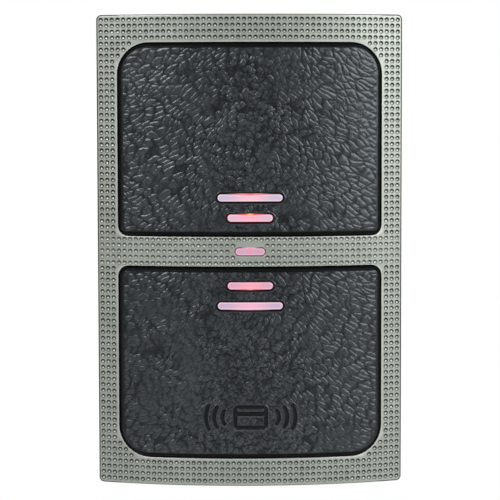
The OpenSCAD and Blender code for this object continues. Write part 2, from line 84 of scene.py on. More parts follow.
# Wall thicknesses, gaps and roundings of the mouldings
BEZEL_T = 2.0
SKIRT_T = 1.8
CORNER_R = 1.2
FLANGE_W = 1.2
FLANGE_T = 1.2
FLANGE_TOP = -BEZEL_T - 0.1
PANEL_T = 2.0
PANEL_WALL = 1.5
PANEL_GAP = 0.25
WINDOW_BIG_R = 8.1
WINDOW_SMALL_R = 2.7
WINDOW_HALF_W = panel_high[0] - FLANGE_W
WINDOW_LOW = panel_low[2] + FLANGE_W
WINDOW_HIGH = panel_high[2] - FLANGE_W
SLOT_CLEARANCE = 0.12
OUTER_EDGE_R = 0.36
WINDOW_EDGE_R = 0.12
SLOT_EDGE_R = 0.12
FOOT_EXTRA_W = 1.6
FOOT_EXTRA_H = 1.4
POST_R = 2.5
POST_BORE_R = 1.28
POST_GAP = 0.05
BORE_END = 0.1
TUB_EDGE = 2.3
POST_X = BODY_W / 2 - TUB_EDGE - 3.4
POST_Z = BODY_H / 2 - TUB_EDGE - 3.1
SCREW_HOLE_R = 3.1
SCREW_HOLE_SIDES = 48
SCREW_BAY = 6.0

# The dimples of the bezel's front
DIMPLE_PITCH_X = 1.456
DIMPLE_PITCH_Z = 1.505
DIMPLE_COLUMNS = 53
DIMPLE_ROWS = 79
DIMPLE_MARGIN = 0.7
DIMPLE_CORNER_R = 7.8
DIMPLE_SIDES = 16
# Radius and depth of each ring of a dimple, from its rim to its floor
DIMPLE_RINGS = [(0.60, 0.0), (0.585, 0.0), (0.565, 0.03), (0.52, 0.13),
                (0.43, 0.26), (0.31, 0.34), (0.19, 0.37), (0.08, 0.375)]
DIMPLE_DEPTH = 0.376

# How painted light is marked on the paint. Painted shade darkens a dimple's wall from WALL_START down, less
# on the middle bar and towards its foot. A painted glint lights its floor from FLOOR_START down, within
# GLINT_R of a point just below its middle.
WALL_START = 0.04
WALL_LEAN = 0.2
WALL_SHARE_ON_BAR = 0.75
FLOOR_START = 0.3
GLINT_R = (0.3, 0.14)
GLINT_DROP = 0.08
GLINT_LEAST = 0.35
# A painted highlight line round the windows, and painted shade on the outer rounding, darker at the sides
# than at the ends
WINDOW_LINE = -0.6
WINDOW_LINE_DEPTH = 0.07
OUTLINE_SIDES, OUTLINE_ENDS = 1.0, 0.6
OUTLINE_DARKEST = 0.2


def bar_size(node):
    """Length, height and middle height of a light bar's lens."""
    low, high = box_mm(node)
    return high[0] - low[0] - FOOT_EXTRA_W, high[2] - low[2] - FOOT_EXTRA_H, (low[2] + high[2]) / 2


BARS = {node: bar_size(node) for node in (
    "upper_long_light_bar", "upper_short_light_bar", "centre_light_bar",
    "lower_short_light_bar", "lower_long_light_bar")}


def front_y(x, grow=0.0):
    """Depth of the curved front, grown outwards by grow, at x."""
    return CROWN_Y + FACE_R - np.sqrt((FACE_R + grow) ** 2 - np.square(x))


def smooth_step(a, b, value):
    """0 where value is at a, 1 where it is at b, with a smooth step between."""
    t = np.clip((value - a) / (b - a), 0, 1)
    return t * t * (3 - 2 * t)


# ---- Outlines, as closed loops of points in X and Z ----

def arc(cx, cz, r, start, end, steps):
    angles = np.radians(np.linspace(start, end, steps + 1))
    return np.stack([cx + r * np.cos(angles), cz + r * np.sin(angles)], axis=1)


def joined(parts, steps_between):
    """A closed loop through arcs, with straight stretches between them cut into equal steps."""
    loop = []
    for part, following, steps in zip(parts, parts[1:] + parts[:1], steps_between):
        loop.extend(part)
        loop.extend(part[-1] + (following[0] - part[-1]) * t for t in np.linspace(0, 1, steps + 1)[1:-1])
    return np.array(loop)


def window_loop(grow, upper=True):
    """The upper window's outline grown by grow, or its reflection for the lower one."""
    big = WINDOW_BIG_R + grow
    small = WINDOW_SMALL_R + grow
    cx_big = WINDOW_HALF_W - WINDOW_BIG_R
    cx_small = WINDOW_HALF_W - WINDOW_SMALL_R
    z_big = WINDOW_HIGH - WINDOW_BIG_R
    z_small = WINDOW_LOW + WINDOW_SMALL_R
    loop = joined([
        arc(cx_big, z_big, big, 0, 90, 16),
        arc(-cx_big, z_big, big, 90, 180, 16),
        arc(-cx_small, z_small, small, 180, 270, 8),
        arc(cx_small, z_small, small, 270, 360, 8),
    ], [44, 30, 52, 30])
    return loop if upper else loop * [1, -1]


def outline_loop(inset, r):
    """The bezel's outline, moved inwards by inset, with corners of radius r."""
    cx = BODY_W / 2 - inset - r
    cz = BODY_H / 2 - inset - r
    corners = [(cx, cz, 0), (-cx, cz, 90), (-cx, -cz, 180), (cx, -cz, 270)]
    return joined([arc(x, z, r, a, a + 90, 6) for x, z, a in corners], [60, 80, 60, 80])


def stadium_loop(length, height, z, grow=0.0):
    r = height / 2
    cx = length / 2 - r
    return joined([arc(cx, z, r + grow, -90, 90, 14), arc(-cx, z, r + grow, 90, 270, 14)], [24, 24])


def circle_loop(x, z, r, steps=32):
    return arc(x, z, r, 0, 360, steps)[:-1]


# ---- Distances to those outlines, negative inside ----

def box_distance(beyond_x, beyond_z, r):
    """Distance to a box with corners of radius r, from how far each point is beyond its sides."""
    qx, qz = beyond_x + r, beyond_z + r
    return np.hypot(np.maximum(qx, 0), np.maximum(qz, 0)) + np.minimum(np.maximum(qx, qz), 0) - r


def window_distance(x, z, upper=True, big_r=WINDOW_BIG_R):
    z = z if upper else -z
    middle = (WINDOW_LOW + WINDOW_HIGH) / 2
    half_h = (WINDOW_HIGH - WINDOW_LOW) / 2
    r = np.where(z > middle, big_r, WINDOW_SMALL_R)
    return box_distance(np.abs(x) - WINDOW_HALF_W, np.abs(z - middle) - half_h, r)


def stadium_distance(x, z, length, height, at_z):
    r = height / 2
    return np.hypot(np.maximum(np.abs(x) - (length / 2 - r), 0), z - at_z) - r


def outline_distance(x, z, inset, r):
    return box_distance(np.abs(x) - (BODY_W / 2 - inset), np.abs(z) - (BODY_H / 2 - inset), r)


# ---- Mesh building ----

WELD_DISTANCE = 0.002
SHARP_ANGLE = 40


class Shell:
    """Collects points and faces of one closed surface; points that coincide become one."""

    def __init__(self):
        self.points = []
        self.faces = []
        self.count = 0

    def add_points(self, points):
        first = self.count
        self.points.append(np.asarray(points, float))
        self.count += len(points)
        return first

    def strip(self, loops):
        """Quads between each loop of 3-D points and the next."""
        n = len(loops[0])
        firsts = [self.add_points(loop) for loop in loops]
        for a, b in zip(firsts, firsts[1:]):
            self.faces.extend((a + i, a + (i + 1) % n, b + (i + 1) % n, b + i) for i in range(n))

    def fan(self, loop):
        first = self.add_points(loop)
        self.faces.append(tuple(range(first, first + len(loop))))

    def fill(self, loops, keep, lift, extra=None):
        """Triangles between closed 2-D loops and extra points, where keep(a, b) holds at their middles."""
        points = list(loops) + ([extra] if extra is not None else [])
        edges, first = [], 0
        for loop in loops:
            n = len(loop)
            edges.extend((first + i, first + (i + 1) % n) for i in range(n))
            first += n
        flat = [Vector(p) for p in np.concatenate(points)]
        out, _, faces, *_ = delaunay_2d_cdt(flat, edges, [], 0, 1e-5)
        out = np.array(out)
        faces = np.array(faces)
        middles = out[faces].mean(axis=1)
        faces = faces[keep(middles[:, 0], middles[:, 1])]
        first = self.add_points(lift(out[:, 0], out[:, 1]))
        self.faces.extend(map(tuple, faces + first))

    def build(self, name):
        """Welds the points, makes the mesh object in metres and points its faces outwards."""
        points = np.concatenate(self.points)
        keys = np.round(points / WELD_DISTANCE).astype(np.int64)
        _, kept, index = np.unique(keys, axis=0, return_index=True, return_inverse=True)
        index = index.reshape(-1)
        faces = [tuple(dict.fromkeys(index[list(face)].tolist())) for face in self.faces]
        mesh = bpy.data.meshes.new(name)
        mesh.from_pydata(points[kept] * MM, [], [face for face in faces if len(face) > 2])
        piece = bpy.data.objects.new(name, mesh)
        bpy.context.scene.collection.objects.link(piece)
        bpy.context.view_layer.objects.active = piece
        bpy.ops.object.mode_set(mode="EDIT")
        bpy.ops.mesh.select_all(action="SELECT")
        bpy.ops.mesh.delete_loose()
        bpy.ops.mesh.select_all(action="SELECT")
        bpy.ops.mesh.normals_make_consistent(inside=False)
        bpy.ops.object.mode_set(mode="OBJECT")
        mesh.shade_smooth()
        mesh.set_sharp_from_angle(angle=math.radians(SHARP_ANGLE))
        return piece


def mark(piece, name, values):
    """Stores one number for each point of a mesh, for its material to read."""
    piece.data.attributes.new(name, "FLOAT", "POINT").data.foreach_set("value", values.astype(np.float32))


def lifted(loop, y):
    """A 2-D loop as 3-D points, at depth y, which may be one number or one for each point."""
    return np.stack([loop[:, 0], np.broadcast_to(y, len(loop)), loop[:, 1]], axis=1)


def on_face(loop, grow=0.0, depth=0.0):
    return lifted(loop, front_y(loop[:, 0], grow) + depth)


def face_lift(grow=0.0):
    return lambda x, z: np.stack([x, front_y(x, grow), z], axis=1)


def rounding(width, height, steps):
    """Offsets across and down of a rounded edge, from the flat to the wall."""
    angles = np.linspace(0, math.pi / 2, steps + 1)
    return [(width * math.sin(a), height * (1 - math.cos(a))) for a in angles]


# ---- The bezel ----

def dimple_places():
    """Grid places clear of the windows and of the middle slot, and each one's share of full width."""
    columns = (np.arange(DIMPLE_COLUMNS) - (DIMPLE_COLUMNS - 1) / 2) * DIMPLE_PITCH_X
    rows = (np.arange(DIMPLE_ROWS) - (DIMPLE_ROWS - 1) / 2) * DIMPLE_PITCH_Z
    x, z = (a.ravel() for a in np.meshgrid(columns, rows))
    length, height, at_z = BARS["centre_light_bar"]
    clear = np.minimum(*[window_distance(x, z, upper, DIMPLE_CORNER_R) for upper in (True, False)])
    clear = np.minimum(clear, stadium_distance(x, z, length, height, at_z))
    x, z = x[clear > DIMPLE_MARGIN], z[clear > DIMPLE_MARGIN]
    room = np.minimum(*[window_distance(x, z, upper) for upper in (True, False)]) - WINDOW_EDGE_R
    room = np.minimum(room, stadium_distance(x, z, length, height, at_z) - SLOT_CLEARANCE - SLOT_EDGE_R)
    room = np.minimum(room, -outline_distance(x, z, OUTER_EDGE_R, CORNER_R - OUTER_EDGE_R))
    return np.stack([x, z], axis=1), np.minimum(1.0, (room - SLACK) / DIMPLE_RINGS[0][0])


def make_bezel():
    shell = Shell()
    edge_r = OUTER_EDGE_R
    window_r = WINDOW_EDGE_R
    slot_r = SLOT_EDGE_R
    dimple_rim = DIMPLE_RINGS[0][0]
    centres, shares = dimple_places()
    bar = BARS["centre_light_bar"]
    posts = [(x, z) for x in (-POST_X, POST_X) for z in (-POST_Z, POST_Z)]

    # The curved front, with a ring left open for each dimple
    ring = circle_loop(0, 0, 1, DIMPLE_SIDES)
    top_loops = [outline_loop(edge_r, CORNER_R - edge_r)]
    top_loops += [window_loop(window_r, upper) for upper in (True, False)]
    top_loops += [stadium_loop(*bar, grow=SLOT_CLEARANCE + slot_r)]
    rims = [c + ring * dimple_rim * share for c, share in zip(centres, shares)]

    # The rim's radius at each grid place; negative places count from the end
    rim_at = np.zeros((DIMPLE_COLUMNS + 4, DIMPLE_ROWS + 4))
    places = np.round(centres / [DIMPLE_PITCH_X, DIMPLE_PITCH_Z]).astype(int)
    rim_at[places[:, 0], places[:, 1]] = dimple_rim * shares

    def on_top(x, z):
        inside = outline_distance(x, z, edge_r, CORNER_R - edge_r) < 0
        for upper in (True, False):
            inside &= window_distance(x, z, upper) > window_r * EDGE_CHORD
        inside &= stadium_distance(x, z, *bar) > SLOT_CLEARANCE + slot_r * EDGE_CHORD
        near_x = np.abs((x / DIMPLE_PITCH_X + 0.5) % 1 - 0.5) * DIMPLE_PITCH_X
        near_z = np.abs((z / DIMPLE_PITCH_Z + 0.5) % 1 - 0.5) * DIMPLE_PITCH_Z
        column = np.round(x / DIMPLE_PITCH_X).astype(int)
        row = np.round(z / DIMPLE_PITCH_Z).astype(int)
        return inside & (np.hypot(near_x, near_z) > rim_at[column, row] * DIMPLE_CHORD)

    shell.fill(top_loops + rims, on_top, face_lift())
    for centre, share in zip(centres, shares):
        slope = centre[0] / FACE_R
        inwards = np.array([-slope, math.sqrt(1 - slope ** 2), 0])
        loops = [on_face(centre + ring * r * share) + inwards * d for r, d in DIMPLE_RINGS]
        shell.strip(loops)
        first = shell.add_points(loops[-1])
        floor = shell.add_points(on_face(centre[None]) + inwards * DIMPLE_DEPTH)
        shell.faces.extend((first + i, first + (i + 1) % DIMPLE_SIDES, floor) for i in range(DIMPLE_SIDES))

    # Rounded edges of the windows and of the slot, and their walls through the bezel
    for upper in (True, False):
        walls = [on_face(window_loop(window_r - a, upper), depth=d)
                 for a, d in rounding(window_r, window_r, 4)]
        walls.append(on_face(window_loop(0, upper), -BEZEL_T))
        shell.strip(walls)
    walls = [on_face(stadium_loop(*bar, grow=SLOT_CLEARANCE + slot_r - a), depth=d)
             for a, d in rounding(slot_r, slot_r, 3)]
    walls.append(on_face(stadium_loop(*bar, grow=SLOT_CLEARANCE), -BEZEL_T))
    shell.strip(walls)

    # The outer edge, the side walls, the back rim and the inside of the walls
    rim_r = 0.3
    inner_r = 1.0
    sides = [on_face(outline_loop(edge_r - a, CORNER_R - edge_r + a), depth=d)
             for a, d in rounding(edge_r, edge_r, 5)]
    outer = outline_loop(0, CORNER_R)
    inner = outline_loop(SKIRT_T, inner_r)
    sides += [on_face(outer, depth=edge_r + 0.2), lifted(outer, BACK_Y - rim_r)]
    wall_strip(shell, sides)
    shell.strip([lifted(outline_loop(a, CORNER_R), BACK_Y - rim_r + d)
                 for a, d in [(0, 0), (0.1, 0.2), (rim_r, rim_r)]] + [lifted(inner, BACK_Y)])
    wall_strip(shell, [lifted(inner, BACK_Y), on_face(inner, -BEZEL_T)])
    screw_way(shell)

    # The inside of the front, and the posts for the case screws
    post_top = box_mm("base_housing")[0][1] - POST_GAP

    def on_inside(x, z):
        inside = outline_distance(x, z, SKIRT_T, inner_r) < 0
        for upper in (True, False):
            inside &= window_distance(x, z, upper) > -NEAR
        inside &= stadium_distance(x, z, *bar) > SLOT_CLEARANCE - NEAR
        for px, pz in posts:
            inside &= np.hypot(x - px, z - pz) > POST_R * POST_CHORD
        return inside

    inner_loops = [inner, window_loop(0), window_loop(0, False), stadium_loop(*bar, grow=SLOT_CLEARANCE)]
    shell.fill(inner_loops + [circle_loop(x, z, POST_R) for x, z in posts], on_inside, face_lift(-BEZEL_T))
    for x, z in posts:
        outside, bore = circle_loop(x, z, POST_R), circle_loop(x, z, POST_BORE_R)
        bottom = front_y(abs(x), -BEZEL_T) + BORE_END
        shell.strip([on_face(outside, -BEZEL_T), lifted(outside, post_top), lifted(bore, post_top),
                     lifted(bore, bottom)])
        shell.fan(lifted(bore, bottom))
    piece = shell.build("bezel")
    mark_bezel(piece, bar)
    return piece


def mark_bezel(piece, bar):
    """Stores painted light on the paint: 1 for painted shade on a dimple's wall, -1 for a painted glint on
    its floor, 0 elsewhere.
    """
    points = np.array([v.co for v in piece.data.vertices]) / MM
    x, z = points[:, 0], points[:, 2]
    depth = FACE_R - np.hypot(x, CROWN_Y + FACE_R - points[:, 1])
    middle_column, middle_row = (DIMPLE_COLUMNS - 1) / 2, (DIMPLE_ROWS - 1) / 2
    column = np.round(x / DIMPLE_PITCH_X + middle_column).astype(int)
    row = np.round(z / DIMPLE_PITCH_Z + middle_row).astype(int)
    across = x - (column - middle_column) * DIMPLE_PITCH_X
    up = z - (row - middle_row) * DIMPLE_PITCH_Z
    shine = np.random.default_rng(31).uniform(GLINT_LEAST, 1, (DIMPLE_ROWS + 2, DIMPLE_COLUMNS + 2))
    lean = up / np.maximum(np.hypot(across, up), 0.1)
    # Painted shade on the dimple's wall, heavier towards its top
    dark = smooth_step(0.0, WALL_START, depth) * (1 - WALL_LEAN + WALL_LEAN * lean)
    dark *= np.where(np.abs(z) < WINDOW_LOW, WALL_SHARE_ON_BAR, 1.0)
    # Painted glint on the dimple's floor, just below its middle, brighter in some dimples than others
    glint = smooth_step(*GLINT_R, np.hypot(across, up + GLINT_DROP))
    bright = shine[row, column] * glint * (depth > FLOOR_START)
    painted_light_mark = dark - (dark + 1) * bright
    painted_light_mark[depth > DIMPLE_DEPTH + SLACK] = 0

    # A painted highlight line round the windows, none round the slot, and a line of painted shade on the
    # outer rounding
    for upper in (True, False):
        distance = window_distance(x, z, upper)
        painted_light_mark[distance < WINDOW_EDGE_R + SLACK] = 0
        painted_light_mark[(np.abs(distance) < WINDOW_EDGE_R + SLACK) & (depth < WINDOW_LINE_DEPTH)] = WINDOW_LINE
    painted_light_mark[stadium_distance(x, z, *bar) < SLOT_CLEARANCE + SLOT_EDGE_R + SLACK] = 0
    # Painted shade on the outer rounding, darker at the sides than at the ends
    rim = outline_distance(x, z, 0, CORNER_R)
    shade = np.where(np.abs(x) > WINDOW_HALF_W, OUTLINE_SIDES, OUTLINE_ENDS)
    shade = shade * smooth_step(-OUTER_EDGE_R, -OUTLINE_DARKEST, rim)
    shade[depth > OUTER_EDGE_R + 0.05] = 0
    painted_light_mark = np.where(rim > -OUTER_EDGE_R + SLACK, shade, painted_light_mark)
    mark(piece, "painted_light_mark", painted_light_mark)


def in_screw_bay(loop):
    """Marks the points of a wall loop that lie on the bottom wall, beside the security screw."""
    return (np.abs(loop[:, 0]) < SCREW_BAY) & (loop[:, 2] < -BODY_H / 2 + SKIRT_T + NEAR)


def wall_strip(shell, loops):
    """A strip with a round hole for the security screw in the bottom wall's part of its last quads."""
    if len(loops) > 2:
        shell.strip(loops[:-1])
    a, b = loops[-2:]
    n = len(a)
    left_out = in_screw_bay(a)
    first_a, first_b = shell.add_points(a), shell.add_points(b)
    for i in range(n):
        j = (i + 1) % n
        if not (left_out[i] or left_out[j]):
            shell.faces.append((first_a + i, first_a + j, first_b + j, first_b + i))
    bay = [i for i in range(n) if left_out[i] or left_out[(i + 1) % n]]
    bay.append((bay[-1] + 1) % n)
    front, back = a[bay], b[bay]
    z = a[bay[1], 2]
    lock_y = screw_axis_y()
    corners = np.concatenate([front[:, :2], back[::-1, :2]])
    hole = circle_loop(0, lock_y, SCREW_HOLE_R, SCREW_HOLE_SIDES)

    def depth_along(line, x):
        order = np.argsort(line[:, 0])
        return np.interp(x, line[order, 0], line[order, 1])

    def keep(x, y):
        edge, other = depth_along(front, x), depth_along(back, x)
        between = (y > np.minimum(edge, other)) & (y < np.maximum(edge, other))
        return between & (np.hypot(x, y - lock_y) > SCREW_HOLE_R * HOLE_CHORD)

    shell.fill([corners, hole], keep, lambda x, y: np.stack([x, y, np.full(len(x), z)], axis=1))


def screw_axis_y():
    low, high = box_mm("security_screw")
    return (low[1] + high[1]) / 2


def screw_way(shell):
    """The round hole through the bottom wall."""
    hole = circle_loop(0, screw_axis_y(), SCREW_HOLE_R, SCREW_HOLE_SIDES)
    shell.strip([np.stack([hole[:, 0], hole[:, 1], np.full(len(hole), z)], axis=1)
                 for z in (-BODY_H / 2, -BODY_H / 2 + SKIRT_T)])


# ---- Leather grain ----

def value_noise(x, z, cell, seed):
    """Smooth noise from -1 to 1 with features about cell wide."""
    table = np.random.default_rng(seed).uniform(-1, 1, (64, 64))
    u, v = x / cell, z / cell
    i, j = np.floor(u).astype(int), np.floor(v).astype(int)
    fu, fv = u - i, v - j
    fu, fv = fu * fu * (3 - 2 * fu), fv * fv * (3 - 2 * fv)

    def at(a, b):
        return table[a % 64, b % 64]

    low = at(i, j) * (1 - fu) + at(i + 1, j) * fu
    high = at(i, j + 1) * (1 - fu) + at(i + 1, j + 1) * fu
    return low * (1 - fv) + high * fv


def cell_edges(x, z, cell, seed):
    """How much farther each point's second nearest seed of a jittered grid is than its nearest one."""
    jitter = np.random.default_rng(seed).uniform(-0.48, 0.48, (64, 64, 2))
    u, v = x / cell, z / cell
    i, j = np.floor(u).astype(int), np.floor(v).astype(int)
    first = np.full(len(x), 1e9)
    second = np.full(len(x), 1e9)
    for di in (-2, -1, 0, 1, 2):
        for dj in (-2, -1, 0, 1, 2):
            offset = jitter[(i + di) % 64, (j + dj) % 64]
            d = np.hypot(i + di + 0.5 + offset[:, 0] - u, j + dj + 0.5 + offset[:, 1] - v)
            second = np.minimum(second, np.maximum(first, d))
            first = np.minimum(first, d)
    return (second - first) * cell


# Size and cell of the slow drift and of the quick wobble that bend the creases
DRIFT = (0.7, 4.3)
WOBBLE = (0.14, 1.3)
CREASE_LEAN = math.radians(47)
CREASE_CELL = 1.15
CREASE_STRETCH = 2.6
CREASE_WIDTH = 0.38
CREASE_DEPTH = 0.14
CREASE_BEND = 45
# Where a net is at its weakest and at its full depth across the panel, and its weakest share of that depth
NET_FADE = (22, -8)
NET_FLOOR = 0.55
# Fine pores between the creases
PORE_SIZE = (0.006, 0.6)


def leather_height(x, z, seed):
    """Height of the grain in millimetres: two crossing nets of long creases, each deeper on its own side."""
    def wander(n):
        drift = DRIFT[0] * value_noise(x, z, DRIFT[1], seed + n)
        return drift + WOBBLE[0] * value_noise(x, z, WOBBLE[1], seed + n + 1)

    wx, wz = x + wander(0), z + wander(2)
    bent = wx - wx ** 3 / (3 * CREASE_BEND ** 2)
    creases = np.zeros(len(x))
    for side, n in ((1, 4), (-1, 5)):
        along = side * wx * math.cos(CREASE_LEAN) + wz * math.sin(CREASE_LEAN)
        across = wz * math.cos(CREASE_LEAN) - side * bent * math.sin(CREASE_LEAN)
        edge = cell_edges(across, along / CREASE_STRETCH, CREASE_CELL, seed + n)
        strength = NET_FLOOR + (1 - NET_FLOOR) * smooth_step(*NET_FADE, side * x)
        strength = strength * np.clip(0.9 + 0.35 * value_noise(x, z, 3.7, seed + 10 + n), 0.6, 1.0)
        creases = np.hypot(creases, CREASE_DEPTH * strength * np.exp(-np.square(edge / CREASE_WIDTH)))
    return PORE_SIZE[0] * (value_noise(x, z, PORE_SIZE[1], seed + 20) - 1) - creases


# ---- The sign on the lower panel: a card between radio waves ----

SIGN_Z = -42.2
SIGN_DEPTH = 0.28
SIGN_STROKE = 0.42
CARD_W, CARD_H, CARD_R = 3.9, 2.6, 0.7
STRIPE_Z, STRIPE_H = 0.9, 0.45
WAVE_X = 4.3
# Each wave's radius and the half angle that it spans
WAVES = [(2.9, 0.65), (5.0, 0.55), (7.1, 0.45)]


def sign_distance(x, z):
    """Distance to the sign's strokes, negative inside them."""
    z = z - SIGN_Z
    card = box_distance(np.abs(x) - CARD_W, np.abs(z) - CARD_H, CARD_R)
    stripe = np.maximum(np.abs(x) - CARD_W, np.abs(z - STRIPE_Z) - STRIPE_H)
    distance = np.minimum(np.abs(card) - SIGN_STROKE, stripe)
    across = np.abs(x) - WAVE_X
    for r, half_angle in WAVES:
        swept = np.clip(np.arctan2(z, across), -half_angle, half_angle)
        wave = np.hypot(across - r * np.cos(swept), z - r * np.sin(swept)) - SIGN_STROKE
        distance = np.minimum(distance, wave)
    return distance


# ---- The panels ----

GRAIN_STEP = 0.15
# Where the grain starts and is at its full depth, from the panel's wall and from a bar
GRAIN_FROM_WALL = (0.65, 1.5)
GRAIN_FROM_BAR = (0.25, 0.6)
# Room between the loose points of the grid and the loops round them
GRID_ROOM = 0.12
PANEL_SLOT_R = 0.22
# The black border is painted shade that stands for the shadow in the gap round the panel; it reaches
# BORDER_EXTRA past the rounded edge at the top, and less far at the sides and below
BORDER_EXTRA = 0.15
BORDER_LESS_AT_SIDES = 0.6
BORDER_LESS_BELOW = 0.1
BORDER_STEP = 0.2
BORDER_ROUND_BAR = (0.48, 0.32)
PROBE = 0.05
LIP_DEPTH = 0.1
LIP_START = 1.65
PANEL_EDGE_W = 1.15
PANEL_EDGE_H = 1.7


def mark_panel(piece, upper, slots_distance):
    """Stores how strongly painted shade blackens each point and roughens and dulls its gloss (1 on the
    border) and how high its grain stands.
    """
    points = np.array([v.co for v in piece.data.vertices]) / MM
    x, z = points[:, 0], points[:, 2]
    edge = window_distance(x, z, upper)
    sideways = window_distance(x + PROBE, z, upper) - window_distance(x - PROBE, z, upper)
    downwards = window_distance(x, z - PROBE, upper) - window_distance(x, z + PROBE, upper)
    less = BORDER_LESS_AT_SIDES * np.abs(sideways) + BORDER_LESS_BELOW * np.maximum(downwards, 0)
    start = less / (2 * PROBE) - BORDER_EXTRA - PANEL_EDGE_W - PANEL_GAP
    # Painted shade on the border along the panel's edge
    border_shade = smooth_step(0.0, BORDER_STEP, edge - start)
    # Painted shadow round the bars
    border_shade = np.maximum(border_shade, smooth_step(*BORDER_ROUND_BAR, slots_distance(x, z)))
    height = front_y(x, PANEL_RISE) - points[:, 1]
    if not upper:
        sign = sign_distance(x, z)
        # Painted shade in the sign's sunk strokes and along their outlines
        pressed = 0.55 * smooth_step(0.1, -0.2, sign) + 0.45 * smooth_step(0.3, 0.0, np.abs(sign))
        border_shade = np.maximum(border_shade, pressed)
    mark(piece, "border_shade", border_shade)
    mark(piece, "grain", np.clip(height, -0.4, 0.3))


def make_panel(name, upper, seed):
    shell = Shell()
    bars = [BARS[n] for n in (
        ("upper_long_light_bar", "upper_short_light_bar") if upper
        else ("lower_long_light_bar", "lower_short_light_bar"))]
    flat = -PANEL_GAP - PANEL_EDGE_W
    slot_edge = SLOT_CLEARANCE + PANEL_SLOT_R

    def slots_distance(x, z):
        return np.minimum(*[stadium_distance(x, z, *bar) for bar in bars])

    def grain(x, z):
        edge = -window_distance(x, z, upper) - PANEL_GAP
        fade = smooth_step(*GRAIN_FROM_WALL, edge) * smooth_step(*GRAIN_FROM_BAR, slots_distance(x, z))
        lip = np.clip((LIP_START - edge) / (LIP_START - PANEL_EDGE_W), 0, 1)
        height = leather_height(x, z, seed) * fade - LIP_DEPTH * np.square(lip)
        if not upper:
            sign = sign_distance(x, z)
            height = height * smooth_step(0.05, 0.5, sign) - SIGN_DEPTH * smooth_step(0.14, -0.14, sign)
        return height

    def lift(x, z):
        return np.stack([x, front_y(x, PANEL_RISE) - grain(x, z), z], axis=1)

    def keep_top(x, z):
        in_slot = slots_distance(x, z) < SLOT_CLEARANCE + PANEL_SLOT_R * EDGE_CHORD
        return (window_distance(x, z, upper) < flat + SLACK) & ~in_slot

    def keep_hollow(x, z):
        in_slot = slots_distance(x, z) < SLOT_CLEARANCE - NEAR
        return (window_distance(x, z, upper) < -PANEL_GAP - PANEL_WALL + NEAR) & ~in_slot

    low_z, high_z = (WINDOW_LOW, WINDOW_HIGH) if upper else (-WINDOW_HIGH, -WINDOW_LOW)
    columns = np.arange(-WINDOW_HALF_W, WINDOW_HALF_W, GRAIN_STEP)
    rows = np.arange(low_z, high_z, GRAIN_STEP * 0.866)
    x, z = np.meshgrid(columns, rows)
    x = x + (np.arange(len(rows)) % 2)[:, None] * GRAIN_STEP / 2
    x, z = x.ravel(), z.ravel()
    inside = window_distance(x, z, upper) < flat - GRID_ROOM
    inside &= slots_distance(x, z) > slot_edge + GRID_ROOM
    loops = [window_loop(flat, upper)] + [stadium_loop(*bar, grow=slot_edge) for bar in bars]
    shell.fill(loops, keep_top, lift, np.stack([x, z], axis=1)[inside])

    # The rounded edge, the wall, the flange behind the bezel and the hollow inside
    def ring(loop, depth):
        points = on_face(loop, PANEL_RISE, depth)
        points[:, 1] -= grain(loop[:, 0], loop[:, 1])
        return points

    edge = [ring(window_loop(flat + a, upper), d) for a, d in rounding(PANEL_EDGE_W, PANEL_EDGE_H, 9)]
    wall = window_loop(-PANEL_GAP, upper)
    flange = window_loop(FLANGE_W, upper)
    hollow = window_loop(-PANEL_GAP - PANEL_WALL, upper)
    edge += [on_face(wall, FLANGE_TOP), on_face(flange, FLANGE_TOP), on_face(flange, FLANGE_TOP - FLANGE_T),
             on_face(hollow, FLANGE_TOP - FLANGE_T), on_face(hollow, PANEL_RISE - PANEL_T)]
    shell.strip(edge)
    for bar in bars:
        walls = [ring(stadium_loop(*bar, grow=slot_edge - a), d)
                 for a, d in rounding(PANEL_SLOT_R, PANEL_SLOT_R, 4)]
        walls.append(on_face(stadium_loop(*bar, grow=SLOT_CLEARANCE), PANEL_RISE - PANEL_T))
        shell.strip(walls)
    shell.fill([hollow] + [stadium_loop(*bar, grow=SLOT_CLEARANCE) for bar in bars], keep_hollow,
               face_lift(PANEL_RISE - PANEL_T))
    piece = shell.build(name)
    mark_panel(piece, upper, slots_distance)
    return piece


# ---- The light bars ----

LENS_RIM_R = 0.32
LENS_DOME = 0.12
LENS_SUNK = 0.12
FOOT_T = 0.8
FOOT_GAP = 0.1


def make_light_bar(name, node, lens_top, foot_top):
    """A domed lens with a rounded rim, and the foot that holds it behind its slot."""
    shell = Shell()
    bar = BARS[node]
    flat_half = bar[1] / 2 - LENS_RIM_R
    loops = []
    for share in (0.12, 0.4, 0.7, 1.0):
        loop = stadium_loop(*bar, grow=-LENS_RIM_R - flat_half * (1 - share))
        loops.append(on_face(loop, lens_top, -LENS_DOME * (1 - share ** 2)))
    loops += [on_face(stadium_loop(*bar, grow=a - LENS_RIM_R), lens_top, d)
              for a, d in rounding(LENS_RIM_R, LENS_RIM_R * 0.8, 4)[1:]]
    side = stadium_loop(*bar)
    foot = stadium_loop(*bar, grow=FOOT_EXTRA_H / 2)
    foot_front = foot_top - FOOT_GAP
    loops += [on_face(side, foot_front), on_face(foot, foot_front), on_face(foot, foot_front - FOOT_T)]
    shell.strip(loops)
    shell.fan(loops[0])
    shell.fan(loops[-1])
    return shell.build(name)


# ---- Shader helper ----

